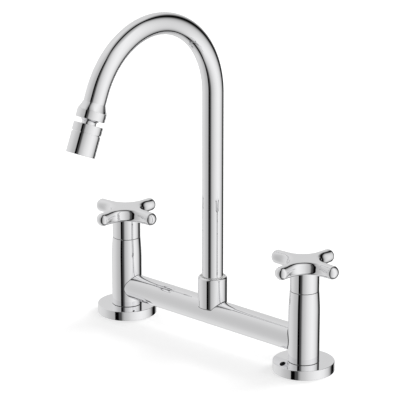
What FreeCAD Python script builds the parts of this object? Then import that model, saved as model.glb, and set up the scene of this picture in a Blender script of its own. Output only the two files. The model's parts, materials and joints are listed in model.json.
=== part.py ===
import FreeCAD, Part
import os
from math import sin, cos, asin, pi, radians, sqrt
from FreeCAD import Vector, Rotation, Placement

# Two-handle bridge kitchen faucet. Millimetres. X runs along the bridge, the spout points to -Y,
# Z is up, z = 0 is the top of the worktop, and the spout turns about x = 0, y = 0.

# ---- driving dimensions ----------------------------------------------------------------------
centres = 203.0            # from one inlet to the other, the 8 inch standard
slack = 0.10               # radial clearance of parts that are fixed in each other
run_fit = 0.05             # radial clearance of parts that turn in each other
touch = 0.02               # gap between parts that bear on each other
open_gap = 0.35            # seen gap between a handle and its column

flange_r = 25.7
flange_h = 8.2
flange_round = 0.5
flange_bore_r = 12.0
gasket_t = 1.5
gasket_rim = 3.2           # width of the metal rim round the gasket

column_r = 13.1
column_top_r = 12.15
column_top_z = 69.5
column_taper = 19.5        # length of its tapered top
base_thread_depth = 8.0
riser_r = 4.0
seat_depth = 24.5          # from the column's top down to the seat of the valve's seal
valve_thread_depth = 12.0
thread_relief = 1.0        # plain length past the valve's thread
passage_r = 2.4            # way down from the valve to the bridge

thread_r = 20.955 / 2      # G 1/2 outside radius
thread_pitch_r = 19.793 / 2
shank_neck = 12.0          # plain length below the worktop's top face
shank_len = 52.0           # below the worktop's top face
shank_bore_r = 5.5
shank_shoulder = 0.5       # height of the shoulder's underside above the worktop
deck_t = 20.0              # worktop that the nuts are set for
deck_washer_r = 17.0
deck_washer_t = 2.0
plate_washer_r = 18.0
plate_washer_t = 1.6
nut_flats = 30.0
nut_h = 9.0

bridge_z = 25.25
bridge_r = 11.2
bridge_wall = 2.0
spigot_len = 15.0          # from the column's side into the bridge
spigot_bore_r = 5.8
spigot_groove = 1.9        # groove that the bridge's set screws run in
screw_r = 2.5              # set screws
screw_key = 2.5            # across flats of their hexagon
screw_sink = 0.8           # below the surface they are set in
bridge_screw_off = 5.4     # from the column's side
bridge_screw_lean = 25.0   # degrees forward of straight down
oring_t = 1.6
oring_groove_w = 2.3

socket_r = 12.45
socket_rise = 32.25        # from the bridge's axis to the socket's top
socket_hang = 5.25         # from the bridge's axis to its lower edge
socket_round = 2.0
socket_bore_r = 9.3
bush_t = 1.25
bush_h = 6.0
bush_sink = 0.4            # from the socket's top down to the bush
spout_r = 9.0
spout_wall = 1.0
spout_seat = 7.5           # how deep the tube goes into the socket
spout_straight = 168.2     # straight tube below the arch
arch_r = 70.0
arch_turn = 157.2          # degrees
nose_len = 9.0             # straight tube after the arch, up to the ferrule
tail_lift = 0.55           # from the bridge's top to the tail's lower end
tail_bore_r = 6.0
tail_spigot = 8.0          # tail inside the tube
groove_depth = 1.0         # groove that the socket's set screw runs in
screw_rim = 1.0            # from that groove to the tail's shoulder

ferrule_len = 6.2
ferrule_socket = 3.0       # how far the tube goes into the ferrule
ferrule_lip = 0.2          # ferrule's wall where it leaves the tube
ferrule_step = 0.8         # its wall between the tube's end and the ball's chamber
ferrule_thread = 0.8       # how far its thread goes past the ball's centre
collar_r = 11.85
collar_len = 7.0
collar_wall = 1.25
collar_round = 0.4
ball_r = 9.0
ball_drop = 5.0            # from the ball's centre to the collar's lower edge
ball_flat = 4.5            # from the ball's centre up to its cut-off top
ball_bore_r = 3.6
seat_lift = 2.0            # from the ball's centre up to its seat
neck_r = 5.8
neck_thread = 1.6          # how far the neck goes past the aerator's cap
outlet_tilt = 15.0         # degrees each way
tilt_clear = 0.96          # left between the collar and the aerator at full tilt
aerator_r = 11.75
cap_len = 7.1
cap_top_t = 1.8
cap_thread = 3.3           # cap's thread inside the shell
shell_len = 17.7
shell_wall = 1.6
shell_lip = 1.6            # inner lip that holds the insert
washer_t = 0.7
seam_w = 0.4
seam_depth = 0.4
insert_recess = 1.2
insert_plate_t = 2.4
insert_wall = 1.4
insert_hole_r = 0.8
insert_hole_step = 3.0

skirt_r = 12.15
skirt_wall = 1.15
cup_h = 9.5                # depth of the handle's cup over the valve
hub_lift = 21.85           # from the skirt's lower edge to the arms' middle
hub_half = 5.8             # half the hub's height
hub_round = 4.5            # round along the hub's edges
hub_proud = 1.25           # how far the hub's hollow sides stand out over the skirt
arm_reach = 34.1           # from the axis to an arm's tip
arm_end_r = 5.7
arm_waist_r = 4.9          # half width at an arm's narrowest
arm_dome_r = 6.0           # radius of an arm's domed end
arm_dome_blend = 3.5       # radius of the round between an arm's side and its dome
arm_end_len = 5.5          # from where an arm is round all the way to its tip

valve_wall = 1.1
valve_window = 6.0
valve_flange_t = 1.5
valve_hex = 17.0
valve_hex_h = 4.0
stem_r = 4.0
stem_drop = 3.7            # from the arms' middle down to the stem's top
stem_foot_r = 6.8
stem_foot_h = 3.0
spline_count = 12
spline_depth = 0.45
disc_r = 7.2
disc_t = 2.5
port_rim = 1.3             # disc's rim outside its two ports
port_hub_r = 1.65
port_spoke = 1.95          # half width of the web between the ports
seal_t = 1.6
seal_rim = 0.5             # from the riser to the seal's bore

# ---- what follows from them ------------------------------------------------------------------
column_x = centres / 2
column_straight_z = column_top_z - column_taper
seat_z = column_top_z - seat_depth
valve_r = disc_r + slack + valve_wall
valve_bore_r = valve_r + 3 * slack
bridge_bore_r = bridge_r - bridge_wall
spigot_r = bridge_bore_r - slack
spigot_end = column_r + spigot_len
bridge_screw_in = column_r + bridge_screw_off
socket_top_z = bridge_z + socket_rise
socket_bottom_z = bridge_z + socket_hang
spout_start_z = socket_top_z - spout_seat
arch_z = spout_start_z + spout_straight
tail_bottom_z = bridge_z + bridge_r + tail_lift
spout_bore_r = spout_r - spout_wall
tail_r = socket_bore_r - run_fit
tail_groove_r = tail_r - groove_depth
skirt_z = column_top_z + open_gap
cup_z = skirt_z + cup_h
cup_r = skirt_r - skirt_wall
hub_z = skirt_z + hub_lift
hub_bottom_z = hub_z - hub_half
stem_top_z = hub_z - stem_drop
hub_fillet_at = (skirt_r + hub_proud - arm_waist_r) / (sqrt(2) - 1)
tube_end = nose_len + ferrule_socket
ferrule_end = nose_len + ferrule_len
collar_end = ferrule_end + collar_len
ball_at = collar_end - ball_drop
neck_gap = aerator_r * sin(radians(outlet_tilt)) + tilt_clear
cap_at = collar_end + neck_gap
shell_at = cap_at + cap_len
aerator_end = shell_at + shell_len
X, Y, Z = Vector(1, 0, 0), Vector(0, 1, 0), Vector(0, 0, 1)
nodes = {}


# ---- helpers ---------------------------------------------------------------------------------
def cylinder(r, z0, z1):
    return Part.makeCylinder(r, z1 - z0, Vector(0, 0, z0))


def ring(r_out, r_in, z0, z1):
    return cylinder(r_out, z0, z1).cut(cylinder(r_in, z0 - 1, z1 + 1))


def hexagon(flats, z0, z1):
    r = flats / sqrt(3)
    points = [Vector(r * cos(k * pi / 3), r * sin(k * pi / 3), z0) for k in range(7)]
    return Part.Face(Part.makePolygon(points)).extrude(Vector(0, 0, z1 - z0))


def turned(points):
    """Solid of revolution about Z. A point is (r, z), or (r, z, mid_r, mid_z) for an arc that ends there."""
    edges = []
    last = Vector(points[0][0], 0, points[0][1])
    for point in points[1:] + points[:1]:
        here = Vector(point[0], 0, point[1])
        if len(point) == 4:
            edges.append(Part.Arc(last, Vector(point[2], 0, point[3]), here).toShape())
        elif (here - last).Length > 1e-7:
            edges.append(Part.LineSegment(last, here).toShape())
        last = here
    return Part.Face(Part.Wire(edges)).revolve(Vector(0, 0, 0), Z, 360)


def rounded(r, z, size, way=1):
    """Profile points that round the outer corner (r, z): from the side to the end face above it (way 1),
    or from the end face to the side above it (way -1)."""
    inset = size * (1 - sqrt(0.5))
    start, end = [(r, z - way * size), (r - size, z)][::way]
    return [start, end + (r - inset, z - way * inset)]


def along(shape, origin, direction):
    """The shape, made along Z, laid along another direction from an origin."""
    moved = shape.copy()
    moved.Placement = Placement(origin, Rotation(Z, direction)).multiply(moved.Placement)
    return moved


def at_column(shape, side):
    """The shape, made on the Z axis with the bridge towards +X, moved to the left (-1) or right (+1) column."""
    moved = shape.copy()
    if side > 0:
        moved.rotate(Vector(0, 0, 0), Z, 180)
    moved.translate(Vector(side * column_x, 0, 0))
    return moved


def at_outlet(shape):
    """The shape, made down the Z axis from the arch's end, moved to the end of the spout."""
    turn = radians(arch_turn)
    end = Vector(0, -arch_r * (1 - cos(turn)), arch_z + arch_r * sin(turn))
    moved = shape.copy()
    moved.Placement = Placement(end, Rotation(X, arch_turn)).multiply(moved.Placement)
    return moved


def set_screw(r, tip, head):
    """Grub screw from its tip to its socketed head, along Z."""
    chamfer = r * 0.3
    body = turned([(0, tip), (r - chamfer, tip), (r, tip + chamfer), (r, head), (0, head)])
    return body.cut(hexagon(screw_key, head - r * 0.8, head + 1))


def oring(r_in, z):
    """Squeezed O-ring of eight flats, a hair clear of its groove and of the bore."""
    half = oring_t / 2 - touch
    flat = half * (sqrt(2) - 1)
    signs = [(half, flat), (flat, half), (-flat, half), (-half, flat)]
    signs += [(-r, -z_off) for r, z_off in signs]
    return turned([(r_in + oring_t / 2 + r, z + z_off) for r, z_off in signs])


def keep(name, shape):
    nodes[name] = shape


# ---- inlets: flange, gasket, shank, washers and nut ------------------------------------------
def flange():
    body = turned([
        (flange_bore_r, 0), (flange_r, 0), *rounded(flange_r, flange_h, flange_round),
        (flange_bore_r, flange_h)])
    return body.cut(cylinder(flange_r - gasket_rim, -1, gasket_t))


def gasket():
    return ring(flange_r - gasket_rim - slack, flange_bore_r, 0, gasket_t)


def shank():
    relief = 1.5
    chamfer = 1.0
    shoulder_r = flange_bore_r - slack
    return turned([
        (shank_bore_r, -shank_len), (thread_pitch_r - chamfer, -shank_len),
        (thread_pitch_r, chamfer - shank_len), (thread_pitch_r, -shank_neck - relief),
        (thread_pitch_r - relief / 3, -shank_neck - relief), (thread_pitch_r - relief / 3, -shank_neck),
        (thread_r, -shank_neck), (thread_r, shank_shoulder), (shoulder_r, shank_shoulder),
        (shoulder_r, flange_h), (thread_pitch_r - slack, flange_h),
        (thread_pitch_r - slack, flange_h + base_thread_depth), (shank_bore_r, flange_h + base_thread_depth)])


def deck_washer():
    return ring(deck_washer_r, thread_r + slack, -deck_t - deck_washer_t, -deck_t)


def plate_washer():
    top = -deck_t - deck_washer_t
    return ring(plate_washer_r, thread_r + slack, top - plate_washer_t, top)


def lock_nut():
    top = -deck_t - deck_washer_t - plate_washer_t
    corners = nut_flats / sqrt(3)
    cone = turned([
        (0, top - nut_h), (nut_flats / 2, top - nut_h), (corners + 1, top - nut_h + 1.2),
        (corners + 1, top), (0, top)])
    return hexagon(nut_flats, top - nut_h, top).common(cone).cut(
        cylinder(thread_pitch_r + slack, top - nut_h - 1, top + 1))


# ---- column, with its spigot towards +X ------------------------------------------------------
def column():
    rise = column_top_z - column_straight_z
    drop = column_r - column_top_r
    body = turned([
        (0, flange_h), (column_r, flange_h), (column_r, column_straight_z),
        (column_top_r, column_top_z, column_r - drop * 0.3, column_straight_z + rise / 2), (0, column_top_z)])
    spigot = along(cylinder(spigot_r, column_r - 3, spigot_end), Vector(0, 0, bridge_z), X)
    body = body.fuse(spigot)
    body = body.cut(cylinder(thread_pitch_r, flange_h - 1, flange_h + base_thread_depth + slack))
    body = body.cut(cylinder(riser_r, flange_h, seat_z + 1))
    body = body.cut(cylinder(valve_bore_r, seat_z, column_top_z))
    body = body.cut(cylinder(thread_pitch_r, column_top_z - valve_thread_depth, column_top_z + 1))
    way_start = (passage_x() - passage_r + riser_r) / 2
    way = along(cylinder(spigot_bore_r, way_start, spigot_end + 1), Vector(0, 0, bridge_z), X)
    body = body.cut(way)
    passage = cylinder(passage_r, bridge_z, seat_z + 2)
    passage.translate(Vector(passage_x(), 0, 0))
    body = body.cut(passage)
    centre = Vector(0, 0, bridge_z)
    half = screw_r + run_fit
    groove = ring(spigot_r + 1, spigot_r - spigot_groove, bridge_screw_in - half, bridge_screw_in + half)
    body = body.cut(along(groove, centre, X))
    seal = ring(spigot_r + 1, bridge_bore_r - oring_t, oring_x() - oring_groove_w / 2, oring_x() + oring_groove_w / 2)
    return body.cut(along(seal, centre, X))


def passage_x():
    """Where the way down from the valve lies, between the riser and the column's wall."""
    return valve_bore_r - passage_r / 2


def oring_x():
    return (bridge_screw_in + screw_r + spigot_end) / 2


def bridge_oring():
    return along(oring(bridge_bore_r - oring_t, oring_x()), Vector(0, 0, bridge_z), X)


# ---- bridge, with its set screws, and the spout's socket --------------------------------------
def screw_axis():
    lean = radians(bridge_screw_lean)
    return Vector(0, -sin(lean), -cos(lean))


def bridge():
    half = column_x
    tube = along(ring(bridge_r, bridge_bore_r, -half, half), Vector(0, 0, bridge_z), X)
    tube = tube.cut(cylinder(tail_bore_r, bridge_z, bridge_z + bridge_r + 1))
    for side in (-1, 1):
        post = cylinder(column_r + touch, 0, column_top_z)
        post.translate(Vector(side * column_x, 0, 0))
        tube = tube.cut(post)
        start = Vector(side * (column_x - bridge_screw_in), 0, bridge_z)
        tube = tube.cut(along(cylinder(screw_r + slack / 2, 0, bridge_r + 1), start, screw_axis()))
    return tube


def bridge_screw(side):
    start = Vector(side * (column_x - bridge_screw_in), 0, bridge_z)
    tip = spigot_r - spigot_groove + touch
    return along(set_screw(screw_r, tip, bridge_r - screw_sink), start, screw_axis())


def socket():
    mouth = spout_r + bush_t + slack
    bush_z = socket_top_z - bush_h
    body = turned([
        (socket_bore_r, socket_bottom_z), (socket_r, socket_bottom_z),
        *rounded(socket_r, socket_top_z, socket_round), (mouth, socket_top_z),
        (mouth, bush_z), (socket_bore_r, bush_z)])
    saddle = along(cylinder(bridge_r + touch, -2 * socket_r, 2 * socket_r), Vector(0, 0, bridge_z), X)
    body = body.cut(saddle)
    hole = along(cylinder(screw_r + slack / 2, 0, socket_r + 1), Vector(0, 0, socket_screw_z()), Y)
    return body.cut(hole)


def socket_screw_z():
    return spout_start_z - screw_r - screw_rim


def socket_screw():
    screw = set_screw(screw_r, tail_groove_r + run_fit, socket_r - screw_sink)
    return along(screw, Vector(0, 0, socket_screw_z()), Y)


# ---- spout: tail, O-rings, bush and tube ------------------------------------------------------
def tail_seals():
    """Heights of the tail's two O-rings, below the groove of the set screw."""
    top = socket_screw_z() - screw_r - run_fit
    step = (top - tail_bottom_z) / 2
    return [tail_bottom_z + step / 2, tail_bottom_z + step * 1.5]


def tail():
    body = cylinder(tail_r, tail_bottom_z, spout_start_z)
    body = body.fuse(cylinder(spout_bore_r - touch, spout_start_z, spout_start_z + tail_spigot))
    body = body.cut(cylinder(tail_bore_r, tail_bottom_z - 1, spout_start_z + tail_spigot + 1))
    half = screw_r + run_fit
    body = body.cut(ring(tail_r + 1, tail_groove_r, socket_screw_z() - half, socket_screw_z() + half))
    for z in tail_seals():
        groove = ring(tail_r + 1, socket_bore_r - oring_t, z - oring_groove_w / 2, z + oring_groove_w / 2)
        body = body.cut(groove)
    return body


def tail_orings():
    return Part.makeCompound([oring(socket_bore_r - oring_t, z) for z in tail_seals()])


def spout_bush():
    bottom = socket_top_z - bush_h
    return ring(spout_r + bush_t, spout_r + run_fit, bottom, socket_top_z - bush_sink)


def spout_path():
    turn = radians(arch_turn)
    top = Vector(0, 0, arch_z)
    middle = Vector(0, -arch_r * (1 - cos(turn / 2)), arch_z + arch_r * sin(turn / 2))
    end = Vector(0, -arch_r * (1 - cos(turn)), arch_z + arch_r * sin(turn))
    last = end + Vector(0, -sin(turn), cos(turn)) * tube_end
    return Part.Wire([
        Part.LineSegment(Vector(0, 0, spout_start_z), top).toShape(),
        Part.Arc(top, middle, end).toShape(),
        Part.LineSegment(end, last).toShape()])


def swept(r):
    circle = Part.Wire(Part.makeCircle(r, Vector(0, 0, spout_start_z), Z))
    return spout_path().makePipeShell([circle], True, False)


def spout_tube():
    return swept(spout_r).cut(swept(spout_bore_r))


# ---- outlet: ferrule, collar, seat, ball and aerator, made down Z from the arch's end ---------
def ferrule_thread_r():
    return collar_r - collar_wall - slack


def chamber_r():
    return ball_r + 3 * slack


def ferrule():
    start_r = spout_r + ferrule_lip
    mid_r = start_r + (collar_r - start_r) * 0.42
    thread_end = ball_at + ferrule_thread
    floor = tube_end + ferrule_step
    return turned([
        (spout_r + touch, nose_len), (start_r, nose_len),
        (collar_r - run_fit, ferrule_end, mid_r, nose_len + ferrule_len / 2),
        (ferrule_thread_r(), ferrule_end), (ferrule_thread_r(), thread_end), (chamber_r(), thread_end),
        (chamber_r(), floor), (spout_bore_r, floor), (spout_bore_r, tube_end), (spout_r + touch, tube_end)])


def collar():
    start = ferrule_end + run_fit
    body = turned([
        (0, start), (collar_r, start), *rounded(collar_r, collar_end, collar_round), (0, collar_end)])
    body = body.cut(cylinder(collar_r - collar_wall, start - 1, ball_at + ferrule_thread + 2 * slack))
    body = body.cut(Part.makeSphere(ball_r + run_fit, Vector(0, 0, ball_at)))
    return body.cut(cylinder(mouth_r(), ball_at, collar_end + 1))


def mouth_r():
    """Radius of the collar's mouth, where the ball's surface leaves it."""
    return sqrt((ball_r + run_fit) ** 2 - ball_drop ** 2) + slack


def ball_seat():
    top = tube_end + ferrule_step + run_fit
    body = ring(chamber_r() - run_fit, spout_bore_r, top, ball_at - seat_lift)
    return body.cut(Part.makeSphere(ball_r + run_fit / 2, Vector(0, 0, ball_at)))


def swivel_ball():
    """Ball, its neck, and the threaded end that the aerator's cap is screwed to."""
    flat = ball_at - ball_flat
    thread_end = cap_at + cap_top_t + neck_thread
    body = Part.makeSphere(ball_r, Vector(0, 0, ball_at))
    body = body.cut(cylinder(ball_r + 1, ball_at - 2 * ball_r, flat))
    body = body.fuse(cylinder(neck_r, ball_at, thread_end)).removeSplitter()
    return body.cut(cylinder(ball_bore_r, flat - 1, thread_end + 1))


def aerator_cap():
    thread = aerator_r - shell_wall
    end = shell_at - seam_w / 2
    inner_end = shell_at + cap_thread
    roof = cap_at + cap_top_t
    return turned([
        (neck_r + touch, cap_at), *rounded(aerator_r, cap_at, collar_round, -1), (aerator_r, end),
        (thread - slack, end), (thread - slack, inner_end), (thread - shell_wall, inner_end),
        (thread - shell_wall, roof), (neck_r + touch, roof)])


def aerator_shell():
    top = shell_at + seam_w / 2
    inside = aerator_r - shell_wall
    return turned([
        (inside, top), (aerator_r, top), *rounded(aerator_r, aerator_end, collar_round),
        (inside - shell_lip, aerator_end), (inside - shell_lip, aerator_end - shell_lip),
        (inside, aerator_end - shell_lip)])


def seam_ring():
    """Dark seal in the narrow groove between the cap and the shell."""
    groove_r = aerator_r - seam_depth
    return ring(groove_r, aerator_r - shell_wall, shell_at - seam_w / 2, shell_at + seam_w / 2)


def insert_holes(r_limit, z0, z1):
    """Round jets on a triangular grid inside a circle."""
    rows = int(r_limit / (insert_hole_step * sin(pi / 3)))
    jets = []
    for row in range(-rows, rows + 1):
        y = row * insert_hole_step * sin(pi / 3)
        shift = 0.5 * insert_hole_step * (row % 2)
        columns = int(r_limit / insert_hole_step) + 1
        for column_no in range(-columns, columns + 1):
            x = column_no * insert_hole_step + shift
            if x * x + y * y < r_limit ** 2:
                jets.append(Part.makeCylinder(insert_hole_r, z1 - z0, Vector(x, y, z0)))
    return Part.makeCompound(jets)


def aerator_insert():
    """Jet plate and sleeve of the flow regulator; it rests on the shell's inner lip."""
    top = shell_at + cap_thread + washer_t
    plate_end = aerator_end - insert_recess
    plate_top = plate_end - insert_plate_t
    shoulder = aerator_end - shell_lip - touch
    outer = aerator_r - shell_wall - slack
    nose = outer - shell_lip
    body = turned([
        (0, plate_top), (outer - insert_wall, plate_top), (outer - insert_wall, top), (outer, top),
        (outer, shoulder), (nose, shoulder), (nose, plate_end), (0, plate_end)])
    return body.cut(insert_holes(nose - 2 * insert_hole_r, plate_top - 1, plate_end + 1))


def aerator_washer():
    top = shell_at + cap_thread
    return ring(aerator_r - shell_wall - slack, neck_r, top + touch, top + washer_t - touch)


# ---- handle: cup, hub and four arms, made on the Z axis ---------------------------------------
def bar_section(x, blend):
    """Outline of an arm at x: eight curves, from the hub's flat-sided section (0) to a full circle (1)."""
    def mix(first, last):
        return first + (last - first) * blend
    flat_u = arm_waist_r - hub_round
    flat_v = hub_half - hub_round
    reach = arm_end_r * cos(pi / 8)
    half = arm_end_r * sin(pi / 8)
    diagonal = sqrt(0.5)
    points = [
        (mix(arm_waist_r, arm_end_r), 0), (mix(arm_waist_r, reach), mix(flat_v, half)),
        (mix(flat_u + hub_round * diagonal, arm_end_r * diagonal),
         mix(flat_v + hub_round * diagonal, arm_end_r * diagonal)),
        (mix(flat_u, half), mix(hub_half, reach)), (0, mix(hub_half, arm_end_r))]
    signs = [(1, 1), (-1, 1), (-1, -1), (1, -1)]
    loop = []
    for k, (su, sv) in enumerate(signs):
        quarter = points if k % 2 == 0 else points[::-1]
        loop += [(su * u, sv * v) for u, v in quarter[:-1]]
    at = [Vector(x, u, v) for u, v in loop]
    count = len(at)
    edges = []
    for k in range(1, count, 2):
        start, middle, end = at[k], at[(k + 1) % count], at[(k + 2) % count]
        if (middle - start).cross(end - middle).Length < 1e-6:
            edges.append(Part.LineSegment(start, end).toShape())
        else:
            edges.append(Part.Arc(start, middle, end).toShape())
    return Part.Wire(edges)


def arm():
    """One arm along +X: from the hub's flat-sided section to a round end with a dome."""
    start, finish = hub_fillet_at, arm_reach - arm_end_len
    stations = [0.0, 0.4, 0.75, 1.0]
    sections = [bar_section(start + (finish - start) * s, s * s * (3 - 2 * s)) for s in stations]
    body = Part.makeLoft(sections, True, False)
    dome_x = arm_reach - arm_dome_r
    blend_v = arm_end_r - arm_dome_blend
    blend_x = dome_x + sqrt((arm_dome_r - arm_dome_blend) ** 2 - blend_v ** 2)
    meet = asin(blend_v / (arm_dome_r - arm_dome_blend))
    bend = (meet + pi / 2) / 2
    end = turned([
        (0, finish), (arm_end_r, finish), (arm_end_r, blend_x),
        (arm_dome_r * sin(meet), dome_x + arm_dome_r * cos(meet),
         blend_v + arm_dome_blend * sin(bend), blend_x + arm_dome_blend * cos(bend)),
        (0, arm_reach, arm_dome_r * sin(meet / 2), dome_x + arm_dome_r * cos(meet / 2))])
    return body.fuse(along(end, Vector(0, 0, 0), X))


def hub_quarter():
    """A quarter of the hub, between the +X and +Y arms: its hollow side turns about an upright axis out there."""
    axis = Vector(hub_fillet_at, hub_fillet_at, 0)
    wall = hub_fillet_at - arm_waist_r
    flat = hub_half - hub_round
    mid = hub_round * (1 - sqrt(0.5))
    outer = 1.5 * hub_fillet_at
    points = [
        Vector(outer, 0, -hub_half), Vector(outer, 0, hub_half), Vector(wall + hub_round, 0, hub_half),
        Vector(wall, 0, flat), Vector(wall, 0, -flat), Vector(wall + hub_round, 0, -hub_half)]
    edges = [
        Part.LineSegment(points[0], points[1]).toShape(), Part.LineSegment(points[1], points[2]).toShape(),
        Part.Arc(points[2], Vector(wall + mid, 0, hub_half - mid), points[3]).toShape(),
        Part.LineSegment(points[3], points[4]).toShape(),
        Part.Arc(points[4], Vector(wall + mid, 0, mid - hub_half), points[5]).toShape(),
        Part.LineSegment(points[5], points[0]).toShape()]
    swing = Part.Face(Part.Wire(edges)).revolve(Vector(0, 0, 0), Z, 90)
    swing.rotate(Vector(0, 0, 0), Z, 180)
    swing.translate(axis)
    box = Part.makeBox(hub_fillet_at, hub_fillet_at, 4 * hub_half, Vector(0, 0, -2 * hub_half))
    return swing.common(box)


def handle():
    body = hub_quarter()
    for k in range(1, 4):
        quarter = hub_quarter()
        quarter.rotate(Vector(0, 0, 0), Z, 90 * k)
        body = body.fuse(quarter)
    body = body.removeSplitter()
    for k in range(4):
        piece = arm()
        piece.rotate(Vector(0, 0, 0), Z, 90 * k)
        body = body.fuse(piece)
    body.translate(Vector(0, 0, hub_z))
    body = body.fuse(cylinder(skirt_r, skirt_z, hub_z))
    body = body.cut(cylinder(cup_r, skirt_z - 1, cup_z))
    body = body.cut(splined(stem_r + slack, cup_z - 1, stem_top_z + slack))
    hole = along(cylinder(screw_r + slack / 2, 0, skirt_r + 1), Vector(0, 0, handle_screw_z()), Y)
    return body.cut(hole)


def handle_screw_z():
    return (cup_z + hub_bottom_z) / 2


def handle_screw():
    screw = set_screw(screw_r, stem_r + touch, skirt_r - screw_sink)
    return along(screw, Vector(0, 0, handle_screw_z()), Y)


# ---- valve: body, seal, ceramic discs and stem, made on the Z axis ----------------------------
def splined(r, z0, z1):
    """Round bar with straight flutes along its length."""
    bar = cylinder(r, z0, z1)
    for k in range(spline_count):
        angle = 2 * pi * k / spline_count
        flute = Part.makeCylinder(spline_depth, z1 - z0, Vector(r * cos(angle), r * sin(angle), z0))
        bar = bar.cut(flute)
    return bar


def fixed_disc_z():
    return seat_z + seal_t


def moving_disc_z():
    return fixed_disc_z() + disc_t + run_fit


def foot_z():
    return moving_disc_z() + disc_t + run_fit


def valve_body():
    """Brass headwork: housing of the discs, thread into the column, flange and hexagon."""
    flange_z = column_top_z + valve_flange_t
    top = flange_z + valve_hex_h
    bottom = fixed_disc_z()
    thread_z = column_top_z - valve_thread_depth + thread_relief
    thread = thread_pitch_r - slack
    rim = cup_r - 3 * slack
    body = turned([
        (0, bottom), (valve_r, bottom), (valve_r, thread_z), (thread, thread_z),
        (thread, column_top_z), (rim, column_top_z), (rim, flange_z), (0, flange_z)])
    body = body.fuse(hexagon(valve_hex, flange_z, top))
    body = body.cut(cylinder(disc_r + slack, bottom - 1, foot_z() + stem_foot_h + slack))
    body = body.cut(cylinder(stem_r + run_fit, bottom, top + 1))
    window = Part.makeBox(2 * valve_r + 2, valve_window, disc_t + stem_foot_h)
    window.translate(Vector(-valve_r - 1, -valve_window / 2, moving_disc_z()))
    return body.cut(window)


def valve_seal():
    return ring(disc_r, riser_r + seal_rim, seat_z, fixed_disc_z())


def disc(z0, turn):
    """Ceramic disc with two opposite ports, turned about Z by this many degrees."""
    ports = ring(disc_r - port_rim, port_hub_r, z0 - 1, z0 + disc_t + 1)
    for angle in (45, 135):
        start = Vector(-2 * disc_r, -port_spoke, z0 - 2)
        bar = Part.makeBox(4 * disc_r, 2 * port_spoke, disc_t + 4, start)
        bar.rotate(Vector(0, 0, 0), Z, angle)
        ports = ports.cut(bar)
    opposite = [s for s in ports.Solids if abs(s.CenterOfMass.x) > abs(s.CenterOfMass.y)]
    body = cylinder(disc_r, z0, z0 + disc_t)
    for port in opposite:
        body = body.cut(port)
    body.rotate(Vector(0, 0, 0), Z, turn)
    return body


def stem():
    body = cylinder(stem_foot_r, foot_z(), foot_z() + stem_foot_h)
    relief = Part.makeBox(4 * stem_foot_r, stem_foot_r, stem_foot_h * 0.6)
    relief.translate(Vector(-2 * stem_foot_r, -stem_foot_r / 2, foot_z() - 0.001))
    body = body.cut(relief)
    body = body.fuse(cylinder(stem_r, foot_z() + stem_foot_h * 0.5, cup_z - slack))
    return body.fuse(splined(stem_r, cup_z - slack, stem_top_z))


# ---- assembly ---------------------------------------------------------------------------------
for name, side in (("left", -1), ("right", 1)):
    for piece, make in (
            ("flange", flange), ("flange_gasket", gasket), ("shank", shank), ("deck_washer", deck_washer),
            ("plate_washer", plate_washer), ("lock_nut", lock_nut), ("column", column),
            ("bridge_oring", bridge_oring), ("valve_body", valve_body), ("valve_seal", valve_seal)):
        keep(name + "_" + piece, at_column(make(), side))
    keep(name + "_fixed_disc", at_column(disc(fixed_disc_z(), 0), side))
    keep(name + "_moving_disc", at_column(disc(moving_disc_z(), 90), side))
    keep(name + "_bridge_screw", bridge_screw(side))
    for piece, make in (("stem", stem), ("handle", handle), ("handle_screw", handle_screw)):
        shape = make()
        shape.translate(Vector(side * column_x, 0, 0))
        keep(name + "_" + piece, shape)

keep("bridge_tube", bridge())
keep("spout_socket", socket())
keep("socket_screw", socket_screw())
keep("spout_tail", tail())
keep("tail_orings", tail_orings())
keep("spout_bush", spout_bush())
keep("spout_tube", spout_tube())
for piece, make in (
        ("spout_ferrule", ferrule), ("joint_collar", collar), ("ball_seat", ball_seat),
        ("swivel_ball", swivel_ball), ("aerator_cap", aerator_cap), ("aerator_seam", seam_ring),
        ("aerator_shell", aerator_shell), ("aerator_insert", aerator_insert), ("aerator_washer", aerator_washer)):
    keep(piece, at_outlet(make()))

os.makedirs("parts", exist_ok=True)
for name, shape in nodes.items():
    shape.exportStep("parts/" + name + ".step")
    print(name, shape.isValid(), len(shape.Solids), round(shape.Volume, 1))
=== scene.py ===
"""Bridge kitchen faucet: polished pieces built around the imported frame, with their finishes and a plain studio."""

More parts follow.
